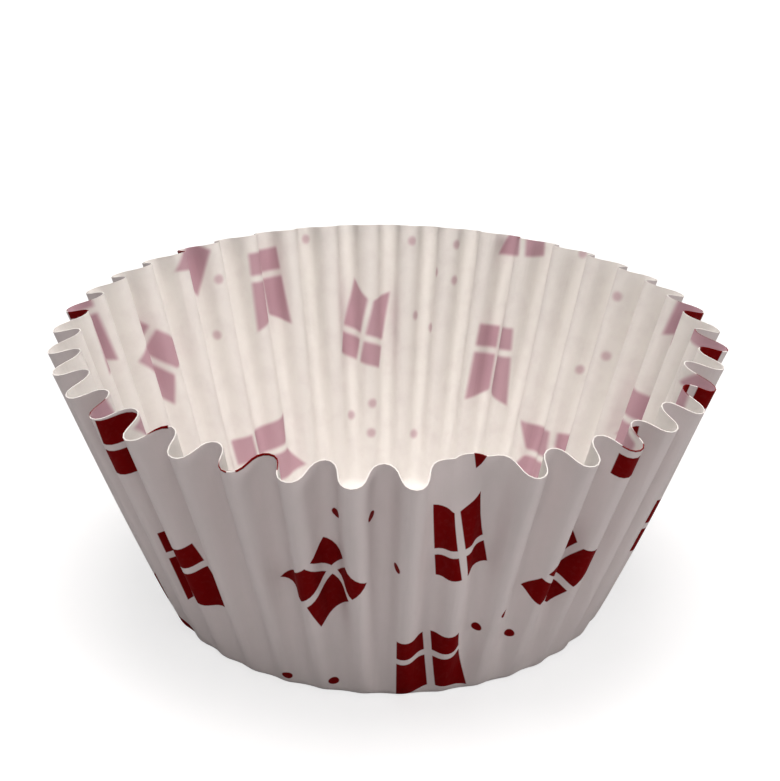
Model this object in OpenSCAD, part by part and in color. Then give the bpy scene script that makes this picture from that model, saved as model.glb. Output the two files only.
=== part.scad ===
// Cupcake liner: one round sheet of thin paper, pressed into a pleated cup.
// The base lies flat on Z = 0, centred on the Z axis, with the front towards -Y.
// Angles run from the front towards +X. Pleats are counted along the rim from the
// front: a whole number is an inward fold, and a half is the crest after it.

/* [Cup] */
// Diameter of the base, out to where the wall would meet the table
base_d = 50; // [44:0.5:60]
// Height of the rim, midway between its crests and its inward folds
rim_h = 31.6; // [26:0.2:38]
// Diameter of the rim, midway between its crests and its inward folds
rim_d = 71.8; // [66:0.2:78]
// Radius of the bend from the base into the wall
bend_r = 1.6; // [1:0.1:3]
// Thickness of the paper
paper_t = 0.12; // [0.1:0.01:0.2]

/* [Pleats] */
// Number of pleats round the wall
pleats = 40; // [32:1:48]
// Depth of the pleats beside what the flat sheet alone would give
fold_fullness = 1.15; // [0.8:0.05:1.25]
// Turn of the whole set of pleats from the front, in degrees
pleat_turn = -2; // [-4:0.5:4]
// How far the pleats crowd towards one side, in degrees
crowding = 3.9; // [0:0.1:5]
// Direction that the pleats are drawn towards, in degrees from the front
crowding_toward = 65; // [0:5:355]

/* [Handling marks] */
// Number of the crest that was pushed in at the rim
pushed_crest = 1; // [0:1:4]
// How far that crest is pushed in, in half depths of a pleat
push_in = 2.5; // [0:0.1:2.6]
// Number of the fold that lies deeper than its neighbours
deep_fold = 8; // [6:1:12]
// How much deeper that fold lies, in half depths of a pleat
extra_depth = 0.7; // [0:0.1:0.8]

/* [Hidden] */
// Facets along one pleat, and rows of facets up the bend and up the wall
PLEAT_STEPS = 8;
BEND_ROWS = 2;
WALL_ROWS = 5;
// Share of the wall, from the base, that the handling marks leave alone
MARK_START = 0.3;
// Step for measuring the slope of the sheet
PROBE = 0.01;

// A pleat is whole
pleat_count = round(pleats);
// Angle of the wall above the table, found so that the wall, bend and rim meet
wall_angle = atan2(rim_h, (rim_d - base_d) / 2);
// Where the flat base ends, and how much sheet the bend and the wall take
flat_r = base_d / 2 - bend_r * tan(wall_angle / 2);
bend_len = bend_r * wall_angle * PI / 180;
wall_len = norm([rim_h, (rim_d - base_d) / 2]) - bend_r * tan(wall_angle / 2);
sheet_r = flat_r + bend_len + wall_len;
steps = pleat_count * PLEAT_STEPS;
row_s = concat(
    [for (i = [0:BEND_ROWS - 1]) flat_r + bend_len * i / BEND_ROWS],
    [for (i = [0:WALL_ROWS]) flat_r + bend_len + wall_len * pow(i / WALL_ROWS, 1.2)]
);

function unit(v) = v / norm(v);
function clamp01(x) = min(max(x, 0), 1);
function smooth(x) = let (t = clamp01(x)) t * t * (3 - 2 * t);

// Slope of the unpleated profile at s, the distance from the middle along the sheet
function slope(s) = s <= flat_r ? 0 : min((s - flat_r) / bend_len, 1) * wall_angle;

// Radius and height of the unpleated profile at s
function profile(s) =
    let (
        a = slope(s),
        past = max(s - flat_r - bend_len, 0)
    )
    [
        min(s, flat_r) + bend_r * sin(a) + past * cos(a),
        bend_r * (1 - cos(a)) + past * sin(a)
    ];

// Largest angle that a pleat turns off the circle. A ring of the flat sheet keeps its
// length, so the angle grows as the cup's ring, as a share q of the flat one, shrinks.
function fold_angle(q) = 2 * sqrt(max(1 - q, 0)) * (1 + 0.145 * (1 - q));

// Half the depth of a pleat whose sheet is len long and turns by w radians
function half_depth(len, w) =
    fold_fullness * len / (2 * PI) * (w - pow(w, 3) / 9 + pow(w, 5) / 225);

// How far the sheet runs ahead of an even spread along the circle, beside its crests
function run_ahead(len, w) = len * w * w / (16 * PI) * (1 - w * w / 12);

// Window that is 1 at pleat number c and falls to 0 a whole pleat to each side
function window(u, c) =
    let (d = abs((u - c + 1.5 * pleat_count) % pleat_count - pleat_count / 2))
    (1 + cos(180 * min(d, 1))) / 2;

// Wave across the pleats, from -1 at an inward fold to 1 at a crest, with the marks
function wave(u, s) =
    let (
        w = -cos(360 * u),
        fade = smooth(((s - sheet_r) / wall_len + 1 - MARK_START) / (1 - MARK_START)),
        pushed = window(u, pushed_crest + 0.5) * (w + 1.5) / 2.5,
        deep = window(u, deep_fold)
    )
    w - fade * (push_in * pushed + extra_depth * deep);

// Point of the outer face: s along the sheet, u along the pleats
function outer(s, u) =
    let (
        p = profile(s),
        a = slope(s),
        len = 2 * PI * s / pleat_count,
        w = fold_angle(p[0] / s),
        out = half_depth(len, w) * wave(u, s),
        even = 360 * u / pleat_count,
        turn = even + pleat_turn + crowding * cos(even - crowding_toward)
            + run_ahead(len, w) * sin(720 * u) / p[0] * 180 / PI,
        r = p[0] + out * sin(a)
    )
    [r * sin(turn), -r * cos(turn), p[1] - out * cos(a)];

// The same point on the inner face, one paper thickness in along the sheet's normal
function inner(s, u) =
    let (
        across = outer(s, u + PROBE) - outer(s, u - PROBE),
        down = min(s + PROBE, sheet_r),
        along = outer(down, u) - outer(down - 2 * PROBE, u)
    )
    outer(s, u) + paper_t * unit(cross(along, across));

// Two triangles between the rings that start at a and b, clockwise from outside
function band(a, b) = [
    for (i = [0:steps - 1]) let (k = (i + 1) % steps)
        each [[a + i, b + i, b + k], [a + i, b + k, a + k]]
];

module liner() {
    rows = len(row_s);
    skin = rows * steps;
    points = concat(
        [for (s = row_s) for (i = [0:steps - 1]) outer(s, i / PLEAT_STEPS)],
        [for (s = row_s) for (i = [0:steps - 1]) inner(s, i / PLEAT_STEPS)],
        [[0, 0, 0], [0, 0, paper_t]]
    );
    faces = concat(
        [for (j = [0:rows - 2]) each band(j * steps, (j + 1) * steps)],
        [for (j = [0:rows - 2]) each band(skin + (j + 1) * steps, skin + j * steps)],
        band((rows - 1) * steps, skin + (rows - 1) * steps),
        [for (i = [0:steps - 1]) [2 * skin, i, (i + 1) % steps]],
        [for (i = [0:steps - 1]) [2 * skin + 1, skin + (i + 1) % steps, skin + i]]
    );
    color("snow") polyhedron(points = points, faces = faces, convexity = 10);
}

liner();
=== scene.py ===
"""Cupcake liner: one round sheet of greaseproof paper, pressed into a pleated baking cup.

The sheet is cut flat, its print is laid out while it is flat, and every point is then
pressed into the cup as real paper goes: a ring of the sheet keeps its length while its
place on the cup has a shorter circle, so the spare length stands up as pleats.
Lengths are metres, and millimetres on the printer's flat sheet. Angles run from the
front, which is -Y, towards +X.
"""

import logging
import math
from dataclasses import dataclass, field
from enum import Enum

import bmesh
import bpy
from mathutils import Matrix, Vector, noise


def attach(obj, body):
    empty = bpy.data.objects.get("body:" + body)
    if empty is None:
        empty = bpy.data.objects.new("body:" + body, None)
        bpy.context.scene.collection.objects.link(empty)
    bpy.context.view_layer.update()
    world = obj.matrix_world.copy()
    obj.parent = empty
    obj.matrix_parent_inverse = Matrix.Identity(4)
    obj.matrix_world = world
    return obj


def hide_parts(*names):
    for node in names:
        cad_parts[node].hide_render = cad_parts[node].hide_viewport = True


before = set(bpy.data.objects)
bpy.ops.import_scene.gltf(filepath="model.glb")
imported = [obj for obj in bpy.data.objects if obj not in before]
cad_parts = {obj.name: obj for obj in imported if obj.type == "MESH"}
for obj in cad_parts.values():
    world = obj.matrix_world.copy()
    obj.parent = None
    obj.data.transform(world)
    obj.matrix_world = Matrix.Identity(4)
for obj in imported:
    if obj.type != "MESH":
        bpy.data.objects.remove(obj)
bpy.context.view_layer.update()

MM = 0.001

log = logging.getLogger("cupcake_liner")


class Face(Enum):
    """The three kinds of surface on a sheet of paper, in the order of their slots."""

    PRINTED = 0
    BARE = 1
    CUT = 2


class PrintMap(Enum):
    """UV maps that carry millimetres of the flat sheet up into the pressed cup."""

    FLAG = "from_flag"
    DOT = "from_dot"
    PLEAT = "along_pleat"


def linear(code: str) -> tuple[float, float, float, float]:
    """Turns an sRGB hex colour into the linear colour that Blender takes.

    Args:
        code: six hex digits, such as "F4F0EC".

    Returns:
        Red, green, blue and alpha, each from 0 to 1.
    """
    parts = [int(code[i:i + 2], 16) / 255 for i in (0, 2, 4)]
    return *(p / 12.92 if p <= 0.04045 else ((p + 0.055) / 1.055) ** 2.4 for p in parts), 1.0


def smooth(x: float) -> float:
    """Rises from 0 to 1 as x does, level at both ends."""
    t = min(max(x, 0.0), 1.0)
    return t * t * (3 - 2 * t)


def add_node(tree: bpy.types.NodeTree, kind: str, inputs: dict | None = None,
             **settings: object) -> bpy.types.Node:
    """Adds a shader node with its settings and links.

    Args:
        tree: the material's or world's node tree.
        kind: the node's type, without its ShaderNode prefix.
        inputs: a value, or an output socket to link, for each input by name or number.
        settings: the node's own properties.

    Returns:
        The new node.
    """
    made = tree.nodes.new("ShaderNode" + kind)
    for name, value in settings.items():
        setattr(made, name, value)
    for key, value in (inputs or {}).items():
        if isinstance(value, bpy.types.NodeSocket):
            tree.links.new(value, made.inputs[key])
        else:
            made.inputs[key].default_value = value
    return made


@dataclass(frozen=True)
class Profile:
    """Outline of the cup without its pleats, from the middle of the base to the rim."""

    base_d: float = 50 * MM
    rim_h: float = 31.6 * MM
    rim_d: float = 71.8 * MM
    bend_r: float = 1.6 * MM

    @property
    def wall_angle(self) -> float:
        """Angle of the wall above the table."""
        return math.atan2(self.rim_h, (self.rim_d - self.base_d) / 2)

    @property
    def flat_r(self) -> float:
        """Radius at which the flat base ends and the bend starts."""
        return self.base_d / 2 - self.bend_r * math.tan(self.wall_angle / 2)

    @property
    def bend_len(self) -> float:
        """Length of sheet that the bend takes."""
        return self.bend_r * self.wall_angle

    @property
    def wall_len(self) -> float:
        """Length of sheet that the wall takes."""
        slant = math.hypot(self.rim_h, (self.rim_d - self.base_d) / 2)
        return slant - self.bend_r * math.tan(self.wall_angle / 2)

    def slope(self, s: float) -> float:
        """Slope of the sheet at s, the distance from its middle."""
        return min(max(s - self.flat_r, 0) / self.bend_len, 1) * self.wall_angle

    def point(self, s: float) -> tuple[float, float]:
        """Finds where the sheet lies on the cup.

        Args:
            s: distance from the middle, along the sheet.

        Returns:
            The radius and the height.
        """
        a = self.slope(s)
        past = max(s - self.flat_r - self.bend_len, 0)
        return (min(s, self.flat_r) + self.bend_r * math.sin(a) + past * math.cos(a),
                self.bend_r * (1 - math.cos(a)) + past * math.sin(a))


@dataclass(frozen=True)
class HandlingMark:
    """A pleat that a hand has pushed in towards the middle of the cup.

    A whole number is an inward fold, and a half is the crest after it. The depth is in
    half depths of a pleat. A broad mark takes the crest and spares its folds.
    """

    pleat: float
    depth: float
    broad: bool = False
    starts_at: float = 0.3


@dataclass(frozen=True)
class Pleats:
    """The flutes that the spare length of the sheet stands up in."""

    count: int = 40
    fullness: float = 1.15
    turn: float = math.radians(-2)
    crowding: float = math.radians(3.9)
    crowding_toward: float = math.radians(65)
    marks: tuple[HandlingMark, ...] = (HandlingMark(1.5, 2.5, broad=True), HandlingMark(8, 0.7))
    # How strongly chance changes one pleat's depth and leans it aside: at most about 12%
    # of the depth and 0.2 degrees come of it
    unevenness: float = 0.14
    lean: float = math.radians(0.35)
    # The lean changes more slowly round the rim than the depth does, and is drawn from a
    # place of its own in the noise
    lean_pace: float = 0.7
    lean_seed: tuple[float, float, float] = (9, 4, 2)
    # Radius on the flat sheet, in millimetres, at which the pleat map is true to size
    map_r: float = 45.0

    def nearness(self, u: float, centre: float) -> float:
        """Is 1 at a pleat number and falls to 0 a whole pleat to each side of it."""
        d = abs((u - centre + 1.5 * self.count) % self.count - self.count / 2)
        return (1 + math.cos(math.pi * min(d, 1))) / 2

    def wave(self, u: float, up_wall: float) -> float:
        """Height of the pleat wave.

        Args:
            u: pleat number.
            up_wall: share of the wall below this point.

        Returns:
            The height, from -1 at an inward fold to 1 at a crest, and past them at marks.
        """
        height = -math.cos(2 * math.pi * u)
        pushed = 0.0
        for mark in self.marks:
            # A broad mark's share falls from 1 at its crest to a fifth at the folds
            share = (height + 1.5) / 2.5 if mark.broad else 1
            fade = smooth((up_wall - mark.starts_at) / (1 - mark.starts_at))
            pushed += fade * share * mark.depth * self.nearness(u, mark.pleat)
        return height - pushed

    def press(self, flat: Vector, profile: Profile) -> Vector:
        """Finds where a point of the flat sheet comes to lie on the cup.

        Args:
            flat: the point on the flat sheet, in its XY plane.
            profile: the cup's outline.

        Returns:
            The point on the outer face of the cup.
        """
        s = math.hypot(flat.x, flat.y)
        even = math.atan2(flat.x, -flat.y)
        turn = even + self.turn + self.crowding * math.cos(even - self.crowding_toward)
        if s < profile.flat_r:
            return Vector((s * math.sin(turn), -s * math.cos(turn), 0))
        a = profile.slope(s)
        ring_r, z = profile.point(s)
        u = even / (2 * math.pi) * self.count % self.count
        pitch = 2 * math.pi * s / self.count
        # The spare share of the ring gives the largest angle that a pleat turns off the
        # circle. That angle gives its depth and its lead, by the first terms of a series.
        spare = 1 - ring_r / s
        fold = 2 * math.sqrt(spare) * (1 + 0.145 * spare)
        depth = self.fullness * pitch / (2 * math.pi) * (fold - fold**3 / 9 + fold**5 / 225)
        ahead = pitch * fold * fold / (16 * math.pi) * (1 - fold * fold / 12)
        up_wall = max(s - profile.flat_r - profile.bend_len, 0) / profile.wall_len
        # Chance is drawn on a ring with about three noise cells to every two pleats
        round_rim = Vector((math.cos(even), math.sin(even), 0)) * self.count / 4
        chance = noise.noise(round_rim + Vector((0, 0, up_wall)))
        seed_x, seed_y, seed_z = self.lean_seed
        swing = noise.noise(round_rim * self.lean_pace
                            + Vector((seed_x, seed_y, seed_z + up_wall)))
        out = depth * (1 + self.unevenness * chance) * self.wave(u, up_wall)
        turn = turn + ahead * math.sin(4 * math.pi * u) / ring_r + self.lean * swing * up_wall
        r = ring_r + out * math.sin(a)
        return Vector((r * math.sin(turn), -r * math.cos(turn), z - out * math.cos(a)))


@dataclass(frozen=True)
class Flag:
    """One printed flag: where its cross lies on the flat sheet, and which way it flies.

    Millimetres from the middle of the sheet, and degrees with 0 towards +X.
    """

    x: float
    y: float
    heading: float

    def local(self, flat: Vector) -> Vector:
        """Measures a point of the sheet from this flag's cross.

        Args:
            flat: the point on the flat sheet, in metres.

        Returns:
            Millimetres along the flag and across it.
        """
        place = Vector((flat.x / MM - self.x, flat.y / MM - self.y))
        c, s = math.cos(math.radians(self.heading)), math.sin(math.radians(self.heading))
        return Vector((place.x * c + place.y * s, place.y * c - place.x * s))


@dataclass(frozen=True)
class FlagShape:
    """A swallow-tailed flag of four panels, which a cross of bare paper parts.

    All in millimetres. Along its heading, the hoist lies behind the cross and the fly
    ahead of it. The stem is the cross's stripe along the flag, and the bar the one across.
    """

    width: float = 7.3
    stem: float = 0.8
    bar: float = 0.85
    hoist: float = 2.8
    fly: float = 6.2
    notch: float = 1.9

    @property
    def middle(self) -> Vector:
        """Middle of the whole flag, from its cross."""
        return Vector(((self.fly - self.hoist) / 2, 0))


@dataclass(frozen=True)
class Print:
    """The scattered print, as it lies on the flat sheet."""

    shape: FlagShape = FlagShape()
    dot_d: float = 1.1
    flags: tuple[Flag, ...] = (
        Flag(5.3, -30.9, 92), Flag(10.9, -45.2, -87), Flag(-7.0, -42.7, 122),
        Flag(-26.3, -28.9, 41), Flag(22.7, -32.7, -21), Flag(38.7, -42.7, -50),
        Flag(-41.6, -35.1, -42), Flag(-7.9, 43.2, 84), Flag(17.2, 39.8, -112),
        Flag(-28.6, 44.3, -55), Flag(-20.5, 22.0, 51), Flag(23.5, 22.0, 139),
        Flag(26.8, 53.2, 159), Flag(-44.7, 39.4, -72), Flag(-44.6, 18.2, 22),
        Flag(17.7, -61.2, 90), Flag(-22.9, -57.2, -19), Flag(-39.1, -47.6, -118),
        Flag(53.7, -25.6, 65), Flag(60.0, -5.7, 85), Flag(58.7, 13.6, -167),
        Flag(54.5, 31.0, 60), Flag(41.2, 10.6, 105), Flag(-56.7, 3.8, -4),
        Flag(0.5, -12.0, -150), Flag(-14.0, 2.0, 110), Flag(7.5, 8.0, -35),
        Flag(38.0, -13.0, -120), Flag(-40.0, -6.0, -100), Flag(24.0, 2.0, 160),
        Flag(-24.0, -10.0, -20),
    )
    dots: tuple[tuple[float, float], ...] = (
        (-9.8, -24.7), (-5.0, -26.3), (1.9, -45.3), (-1.6, -52.1), (-7.3, -51.0),
        (11.5, -32.7), (15.2, -28.5), (15.0, -34.0), (39.6, -28.5), (-34.4, 31.8),
        (-5.2, 35.0), (-8.2, 32.8), (-4.8, 31.2), (1.9, 31.4), (6.5, 52.0), (4.8, 45.0),
        (9.6, 50.7), (1.7, 46.7), (32.7, 29.8), (39.1, 26.8), (44.7, 31.7), (36.8, 44.7),
        (10.2, 55.2), (0.6, 56.2), (-21.3, 52.5), (-35.8, 40.3), (-38.2, 37.7), (39.3, 0.4),
    )

    def lay_out(self, bm: bmesh.types.BMesh, pleats: Pleats) -> None:
        """Writes each corner's place from the nearest flag, the nearest dot and the pleats.

        Args:
            bm: the flat sheet, before it is pressed.
            pleats: the pleats that it will get.
        """
        maps = {kind: bm.loops.layers.uv.new(kind.value) for kind in PrintMap}
        pitch = 2 * math.pi * pleats.map_r / pleats.count
        for face in bm.faces:
            middle = face.calc_center_median()
            flag = min(self.flags, key=lambda f: (f.local(middle) - self.shape.middle).length)
            dot = min(self.dots, key=lambda d: math.dist(d, (middle.x / MM, middle.y / MM)))
            around = math.atan2(middle.x, -middle.y)
            for loop in face.loops:
                flat = loop.vert.co
                turn = Vector((-middle.y, middle.x)).angle_signed(Vector((-flat.y, flat.x)), 0)
                u = (around - turn) / (2 * math.pi) * pleats.count
                loop[maps[PrintMap.FLAG]].uv = flag.local(flat)
                loop[maps[PrintMap.DOT]].uv = (flat.x / MM - dot[0], flat.y / MM - dot[1])
                loop[maps[PrintMap.PLEAT]].uv = (u * pitch, flat.length / MM)


@dataclass(frozen=True)
class Ink:
    """Water-based flexographic ink, stamped flat: dull, even, crisp at its edges.

    From the bare side it shows through the thin paper as a soft pink shadow.
    """

    colour: str = "780002"
    shadow: str = "C9A5B0"
    # Half the width of its edge in millimetres, where it is printed and seen through
    crisp: float = 0.06
    blurred: float = 0.34
    # Share of its strength that a small dot keeps when it shows through the paper
    dot_through: float = 0.7
    # Size of its specks in millimetres, and its cover in the palest of them
    speck: float = 0.5
    thinnest: float = 0.992

    def band(self, tree: bpy.types.NodeTree, value: bpy.types.NodeSocket, low: float,
             high: float, blur: float) -> bpy.types.NodeSocket:
        """Makes a field that is 1 where a value lies between two limits.

        Args:
            tree: the material's node tree.
            value: the value, in millimetres.
            low: lower limit.
            high: upper limit.
            blur: half the width over which the field fades at a limit.

        Returns:
            The field's socket.
        """
        rise = add_node(tree, "MapRange", {"Value": value, "From Min": low - blur,
                                           "From Max": low + blur},
                        interpolation_type="SMOOTHSTEP")
        fall = add_node(tree, "MapRange", {"Value": value, "From Min": high - blur,
                                           "From Max": high + blur, "To Min": 1.0,
                                           "To Max": 0.0},
                        interpolation_type="SMOOTHSTEP")
        return add_node(tree, "Math", {0: rise.outputs[0], 1: fall.outputs[0]},
                        operation="MULTIPLY").outputs[0]

    def coverage(self, tree: bpy.types.NodeTree, design: Print,
                 blur: float) -> bpy.types.NodeSocket:
        """Makes the field that is 1 under ink: four panels of the nearest flag, and a dot.

        Args:
            tree: the material's node tree.
            design: the print.
            blur: half the width of the ink's edge, in millimetres.

        Returns:
            The field's socket.
        """
        shape = design.shape
        place = add_node(tree, "UVMap", uv_map=PrintMap.FLAG.value)
        axes = add_node(tree, "SeparateXYZ", {0: place.outputs[0]})
        along = axes.outputs[0]
        aside = add_node(tree, "Math", {0: axes.outputs[1]}, operation="ABSOLUTE").outputs[0]
        sides = self.band(tree, aside, shape.stem / 2, shape.width / 2, blur)
        # The tail's cut ends the fly and the bar starts it, so each of those two bands
        # has its other limit out of reach. A dot has no inner edge.
        hoist = self.band(tree, along, -shape.bar / 2 - shape.hoist, -shape.bar / 2, blur)
        cut = add_node(tree, "Math", {0: aside, 1: -2 * shape.notch / shape.width, 2: along},
                       operation="MULTIPLY_ADD").outputs[0]
        root = self.band(tree, along, shape.bar / 2, 2 * shape.fly, blur)
        tail = self.band(tree, cut, -shape.fly, shape.bar / 2 + shape.fly - shape.notch, blur)
        fly = add_node(tree, "Math", {0: root, 1: tail}, operation="MULTIPLY").outputs[0]
        ends = add_node(tree, "Math", {0: hoist, 1: fly}, operation="MAXIMUM").outputs[0]
        panels = add_node(tree, "Math", {0: sides, 1: ends}, operation="MULTIPLY").outputs[0]
        spot = add_node(tree, "UVMap", uv_map=PrintMap.DOT.value)
        reach = add_node(tree, "VectorMath", {0: spot.outputs[0]}, operation="LENGTH")
        spread = self.band(tree, reach.outputs["Value"], -1.0, design.dot_d / 2, blur)
        strength = self.dot_through if blur == self.blurred else 1.0
        dot = add_node(tree, "Math", {0: spread, 1: strength},
                       operation="MULTIPLY").outputs[0]
        return add_node(tree, "Math", {0: panels, 1: dot}, operation="MAXIMUM").outputs[0]


@dataclass(frozen=True)
class GreaseproofPaper:
    """Greaseproof paper, beaten fine and pressed: smooth, dull and a little see-through.

    The printed face is a faintly rosy white, the bare face a warm one, and the cut edge
    is paler than both.
    """

    white: str = "ECE4E4"
    bare: str = "F6F4F0"
    cut: str = "FBF9F5"
    mottle: str = "E7E2E0"
    let_through: float = 0.08
    roughness: float = 0.6
    ior: float = 1.5
    # Specular level, a tenth of the usual one, because the fibres scatter the gloss
    specular: float = 0.05
    # Clouds of fibre that show against light: their size in millimetres, and how far the
    # densest goes towards the mottle's colour
    cloud: float = 2.6
    cloud_depth: float = 0.45
    # The finer felt of the surface, across and in height, in millimetres
    fibre: float = 0.35
    fibre_height: float = 0.02
    # Creases that the press leaves: across the pleats, along them and in height
    crease: float = 0.9
    crease_len: float = 12.0
    crease_height: float = 0.12

    def material(self, face: Face, ink: Ink, design: Print) -> bpy.types.Material:
        """Makes the paper's material for one kind of surface.

        Args:
            face: which surface it is for.
            ink: the ink of the print.
            design: the print.

        Returns:
            The material.
        """
        made = bpy.data.materials.new("greaseproof_paper_" + face.name.lower())
        made.use_nodes = True
        tree = made.node_tree
        tree.nodes.clear()
        base = {Face.PRINTED: self.white, Face.BARE: self.bare, Face.CUT: self.cut}[face]
        place = add_node(tree, "TexCoord").outputs["Object"]
        clouds = add_node(tree, "TexNoise", {"Vector": place, "Scale": 1 / (self.cloud * MM),
                                             "Detail": 4.0, "Roughness": 0.6})
        tone = add_node(tree, "MapRange", {"Value": clouds.outputs[0], "From Min": 0.45,
                                           "From Max": 0.75, "To Max": self.cloud_depth})
        paper = add_node(tree, "Mix", {"Factor": tone.outputs[0], "A": linear(base),
                                       "B": linear(self.mottle)}, data_type="RGBA")
        blur = ink.blurred if face is Face.BARE else ink.crisp
        stain = ink.shadow if face is Face.BARE else ink.colour
        covered = ink.coverage(tree, design, blur)
        grain = add_node(tree, "TexNoise", {"Vector": place, "Scale": 1 / (ink.speck * MM),
                                            "Detail": 3.0})
        solid = add_node(tree, "MapRange", {"Value": grain.outputs[0], "From Min": 0.3,
                                            "From Max": 0.5, "To Min": ink.thinnest})
        laid = add_node(tree, "Math", {0: covered, 1: solid.outputs[0]}, operation="MULTIPLY")
        colour = add_node(tree, "Mix", {"Factor": laid.outputs[0],
                                        "A": paper.outputs["Result"],
                                        "B": linear(stain)}, data_type="RGBA")
        tint = colour.outputs["Result"]
        normal = self.relief(tree, place)
        skin = add_node(tree, "BsdfPrincipled", {"Base Color": tint, "Normal": normal,
                                                 "Roughness": self.roughness,
                                                 "IOR": self.ior,
                                                 "Specular IOR Level": self.specular})
        glow = add_node(tree, "BsdfTranslucent", {"Color": tint, "Normal": normal})
        sheet = add_node(tree, "MixShader", {0: self.let_through, 1: skin.outputs[0],
                                             2: glow.outputs[0]})
        add_node(tree, "OutputMaterial", {"Surface": sheet.outputs[0]})
        return made

    def relief(self, tree: bpy.types.NodeTree,
               place: bpy.types.NodeSocket) -> bpy.types.NodeSocket:
        """Makes the surface relief: the felt of the fibres over the press's long creases.

        Args:
            tree: the material's node tree.
            place: object coordinates.

        Returns:
            The normal's socket.
        """
        up = add_node(tree, "UVMap", uv_map=PrintMap.PLEAT.value)
        drawn = add_node(tree, "Mapping", {"Vector": up.outputs[0],
                                           "Scale": (1 / self.crease, 1 / self.crease_len, 1)})
        creases = add_node(tree, "TexNoise", {"Vector": drawn.outputs[0], "Scale": 1.0,
                                              "Detail": 3.0, "Roughness": 0.55})
        felt = add_node(tree, "TexNoise", {"Vector": place, "Scale": 1 / (self.fibre * MM),
                                           "Detail": 3.0, "Roughness": 0.6})
        pressed = add_node(tree, "Bump", {"Height": creases.outputs[0], "Strength": 0.5,
                                          "Distance": self.crease_height * MM})
        return add_node(tree, "Bump", {"Height": felt.outputs[0], "Strength": 0.35,
                                       "Distance": self.fibre_height * MM,
                                       "Normal": pressed.outputs[0]}).outputs[0]


@dataclass
class BakingCup:
    """The whole liner, which is one sheet."""

    profile: Profile = field(default_factory=Profile)
    pleats: Pleats = field(default_factory=Pleats)
    design: Print = field(default_factory=Print)
    paper: GreaseproofPaper = field(default_factory=GreaseproofPaper)
    ink: Ink = field(default_factory=Ink)
    thickness: float = 0.12 * MM
    steps_per_pleat: int = 16
    base_rings: int = 12
    bend_rings: int = 5
    wall_rings: int = 40

    def rings(self) -> list[float]:
        """Spaces out the rings that the flat sheet is made of.

        Returns:
            Their radii, from the middle out.
        """
        p = self.profile
        base = [p.flat_r * (i + 1) / self.base_rings for i in range(self.base_rings)]
        bend = [p.flat_r + p.bend_len * (i + 1) / self.bend_rings
                for i in range(self.bend_rings)]
        wall = [bend[-1] + p.wall_len * (i + 1) / self.wall_rings
                for i in range(self.wall_rings)]
        return base + bend + wall

    def cut_sheet(self) -> bmesh.types.BMesh:
        """Makes the flat round sheet, ring by ring from the middle.

        Returns:
            The flat sheet.
        """
        bm = bmesh.new()
        radii = self.rings()
        bmesh.ops.create_circle(bm, cap_ends=True, cap_tris=True, radius=radii[0],
                                segments=self.pleats.count * self.steps_per_pleat)
        for inner, outer in zip(radii, radii[1:]):
            edge = [e for e in bm.edges if e.is_boundary]
            grown = bmesh.ops.extrude_edge_only(bm, edges=edge)["geom"]
            ring = [v for v in grown if isinstance(v, bmesh.types.BMVert)]
            share = outer / inner
            bmesh.ops.scale(bm, vec=(share, share, 1), verts=ring)
        return bm

    def press(self, bm: bmesh.types.BMesh) -> None:
        """Presses the flat sheet into the cup, and turns its faces outwards.

        Args:
            bm: the flat sheet, which becomes the cup's outer face.
        """
        for vert in bm.verts:
            vert.co = self.pleats.press(vert.co, self.profile)
        bmesh.ops.recalc_face_normals(bm, faces=bm.faces)
        lowest = min(bm.faces, key=lambda f: f.calc_center_median().length)
        if lowest.normal.z > 0:
            bmesh.ops.reverse_faces(bm, faces=bm.faces)
        for face in bm.faces:
            face.smooth = True
        for edge in bm.edges:
            edge.smooth = not edge.is_boundary

    def build(self) -> bpy.types.Object:
        """Makes the liner, dressed and riding on the part's body.

        Returns:
            The liner's object.
        """
        bm = self.cut_sheet()
        self.design.lay_out(bm, self.pleats)
        self.press(bm)
        mesh = bpy.data.meshes.new("baking_cup")
        bm.to_mesh(mesh)
        bm.free()
        piece = bpy.data.objects.new("baking_cup", mesh)
        bpy.context.scene.collection.objects.link(piece)
        for face in Face:
            mesh.materials.append(self.paper.material(face, self.ink, self.design))
        wall = piece.modifiers.new("paper_thickness", "SOLIDIFY")
        wall.thickness = self.thickness
        wall.offset = -1
        wall.use_even_offset = True
        wall.material_offset = Face.BARE.value
        wall.material_offset_rim = Face.CUT.value
        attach(piece, "root")
        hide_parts("liner")
        return piece


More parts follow.
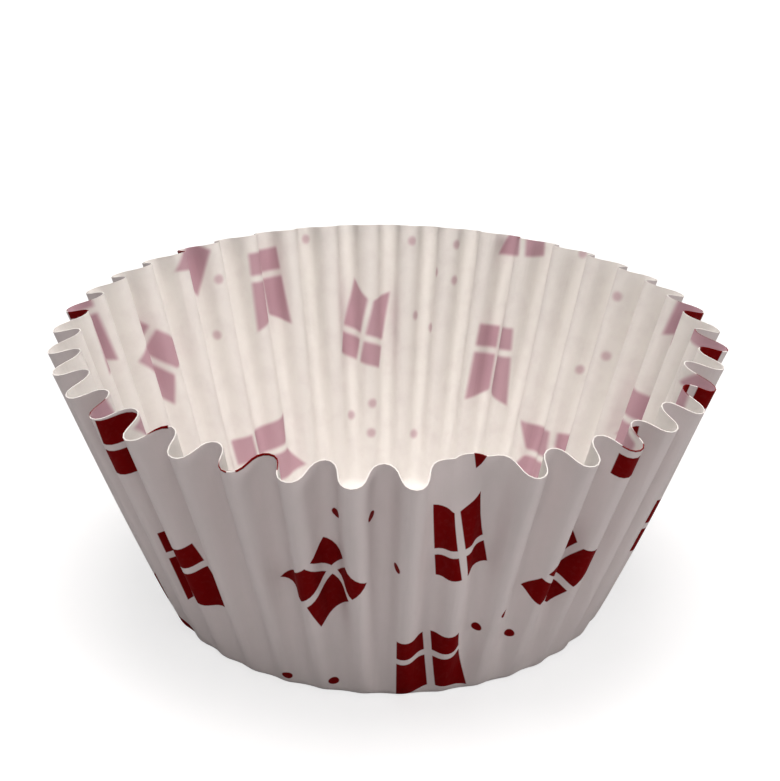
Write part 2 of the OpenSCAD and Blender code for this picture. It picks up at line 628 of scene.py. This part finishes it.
@dataclass
class Studio:
    """Plain pale floor, soft light from all sides but the back, and the camera."""

    # Camera: what it looks at, how far off and how high it stands, and its small roll
    target: Vector = field(default_factory=lambda: Vector((0.2, 0, 24.58)) * MM)
    distance: float = 230.5 * MM
    elevation: float = math.radians(24.16)
    roll: float = 0.017
    # Its focal length and the longer side of its frame in pixels, and its sensor's width
    # in millimetres
    focal_px: float = 2044.0
    frame_px: float = 781.0
    sensor: float = 36.0

    # The floor, and the hole in it, which the base hides and the lamp below shines through
    floor_r: float = 1.5
    floor_hole_r: float = 23.8 * MM
    floor_sides: int = 64
    floor_colour: str = "ACADAE"
    # White that the floor adds for the camera. It grows to full white from the near radius
    # to the clear one, so that the cup keeps its shadow.
    floor_lift: float = 0.7
    floor_near_r: float = 0.1
    floor_clear_r: float = 0.6

    # Room light, then the softboxes: the lengths of a side, their places and their watts.
    # The ones above and below share a size and a distance.
    world_level: float = 0.02
    lamp_colour: str = "FFF8F5"
    top_size: float = 0.5
    side_size: float = 0.6
    lamp_height: float = 0.9
    front_place: tuple[float, float, float] = (0, -0.8, 0.62)
    left_place: tuple[float, float, float] = (-1.25, -0.45, 0.4)
    right_place: tuple[float, float, float] = (1.25, -0.45, 0.4)
    top_power: float = 7.9
    front_power: float = 2.5
    left_power: float = 1.3
    right_power: float = 4.2
    low_power: float = 2.6

    def camera(self) -> bpy.types.Object:
        """Sets the camera up.

        Returns:
            The camera's object.
        """
        ahead = Vector((0, math.cos(self.elevation), -math.sin(self.elevation)))
        right, up = Vector((1, 0, 0)), Vector((0, math.sin(self.elevation),
                                               math.cos(self.elevation)))
        c, s = math.cos(self.roll), math.sin(self.roll)
        lens = bpy.data.cameras.new("camera")
        lens.sensor_width = self.sensor
        lens.lens = self.focal_px * self.sensor / self.frame_px
        lens.clip_start = 10 * MM
        lens.clip_end = 10.0
        made = bpy.data.objects.new("camera", lens)
        axes = Matrix((right * c + up * s, up * c - right * s, -ahead)).transposed()
        made.matrix_world = (Matrix.Translation(self.target - ahead * self.distance)
                             @ axes.to_4x4())
        bpy.context.scene.collection.objects.link(made)
        bpy.context.scene.camera = made
        return made

    def floor(self) -> bpy.types.Object:
        """Lays the floor, a ring that is pale to a camera above it and clear to one below.

        Returns:
            The floor's object.
        """
        bm = bmesh.new()
        bmesh.ops.create_circle(bm, segments=self.floor_sides, radius=self.floor_hole_r)
        grown = bmesh.ops.extrude_edge_only(bm, edges=bm.edges[:])["geom"]
        share = self.floor_r / self.floor_hole_r
        bmesh.ops.scale(bm, vec=(share, share, 1),
                        verts=[v for v in grown if isinstance(v, bmesh.types.BMVert)])
        bmesh.ops.recalc_face_normals(bm, faces=bm.faces)
        if bm.faces[:][0].normal.z < 0:
            bmesh.ops.reverse_faces(bm, faces=bm.faces)
        mesh = bpy.data.meshes.new("floor")
        bm.to_mesh(mesh)
        bm.free()
        made = bpy.data.objects.new("floor", mesh)
        bpy.context.scene.collection.objects.link(made)
        surface = bpy.data.materials.new("matt_painted_board")
        surface.use_nodes = True
        tree = surface.node_tree
        tree.nodes.clear()
        seen = add_node(tree, "LightPath").outputs["Is Camera Ray"]
        place = add_node(tree, "TexCoord").outputs["Object"]
        far = add_node(tree, "VectorMath", {0: place}, operation="LENGTH").outputs["Value"]
        white = add_node(tree, "MapRange", {"Value": far, "From Min": self.floor_near_r,
                                            "From Max": self.floor_clear_r,
                                            "To Min": self.floor_lift, "To Max": 1.0})
        board = add_node(tree, "BsdfDiffuse", {"Color": linear(self.floor_colour)})
        level = add_node(tree, "Math", {0: seen, 1: white.outputs[0]}, operation="MULTIPLY")
        lift = add_node(tree, "Emission", {"Color": linear("FFFFFF"),
                                           "Strength": level.outputs[0]})
        lit = add_node(tree, "AddShader", {0: board.outputs[0], 1: lift.outputs[0]})
        below = add_node(tree, "NewGeometry").outputs["Backfacing"]
        clear = add_node(tree, "BsdfTransparent")
        both = add_node(tree, "MixShader", {0: below, 1: lit.outputs[0],
                                            2: clear.outputs[0]})
        add_node(tree, "OutputMaterial", {"Surface": both.outputs[0]})
        mesh.materials.append(surface)
        return made

    def light(self) -> None:
        """Sets up the even room light and the softboxes."""
        world = bpy.data.worlds.new("studio")
        bpy.context.scene.world = world
        world.use_nodes = True
        tree = world.node_tree
        tree.nodes.clear()
        path = add_node(tree, "LightPath")
        direct = add_node(tree, "Math", {0: path.outputs["Is Camera Ray"],
                                         1: path.outputs["Is Glossy Ray"]},
                          operation="MAXIMUM")
        shown = add_node(tree, "Math", {0: direct.outputs[0],
                                        1: path.outputs["Is Transmission Ray"]},
                         operation="MAXIMUM")
        level = add_node(tree, "MapRange", {"Value": shown.outputs[0],
                                            "To Min": self.world_level, "To Max": 1.0})
        glow = add_node(tree, "Background", {"Color": linear("FFFFFF"),
                                             "Strength": level.outputs[0]})
        add_node(tree, "OutputWorld", {"Surface": glow.outputs[0]})
        self.softbox("softbox_above", (0, 0, self.lamp_height), self.top_size, self.top_power)
        self.softbox("softbox_front", self.front_place, self.side_size, self.front_power)
        self.softbox("softbox_left", self.left_place, self.side_size, self.left_power)
        self.softbox("softbox_right", self.right_place, self.side_size, self.right_power)
        self.softbox("softbox_below", (0, 0, -self.lamp_height), self.top_size, self.low_power)

    def softbox(self, name: str, place: tuple[float, float, float], size: float,
                power: float) -> None:
        """Places a square softbox that faces the cup.

        Args:
            name: the lamp's name.
            place: where it stands.
            size: length of its side.
            power: its power in watts.
        """
        lamp = bpy.data.lights.new(name, "AREA")
        lamp.energy = power
        lamp.size = size
        lamp.color = linear(self.lamp_colour)[:3]
        box = bpy.data.objects.new(name, lamp)
        box.matrix_world = (Matrix.Translation(place)
                            @ Vector(place).to_track_quat("Z", "Y").to_matrix().to_4x4())
        bpy.context.scene.collection.objects.link(box)

    def build(self) -> None:
        """Sets the whole studio up."""
        self.camera()
        self.floor()
        self.light()
        bpy.context.scene.view_settings.view_transform = "Standard"


def main() -> None:
    """Builds the studio and the liner, and reports each piece."""
    logging.basicConfig(level=logging.INFO, format="%(name)s: %(message)s")
    Studio().build()
    log.info("studio is set up")
    cup = BakingCup().build()
    log.info("%s has %d faces before its thickness", cup.name, len(cup.data.polygons))


if __name__ == "__main__":
    main()
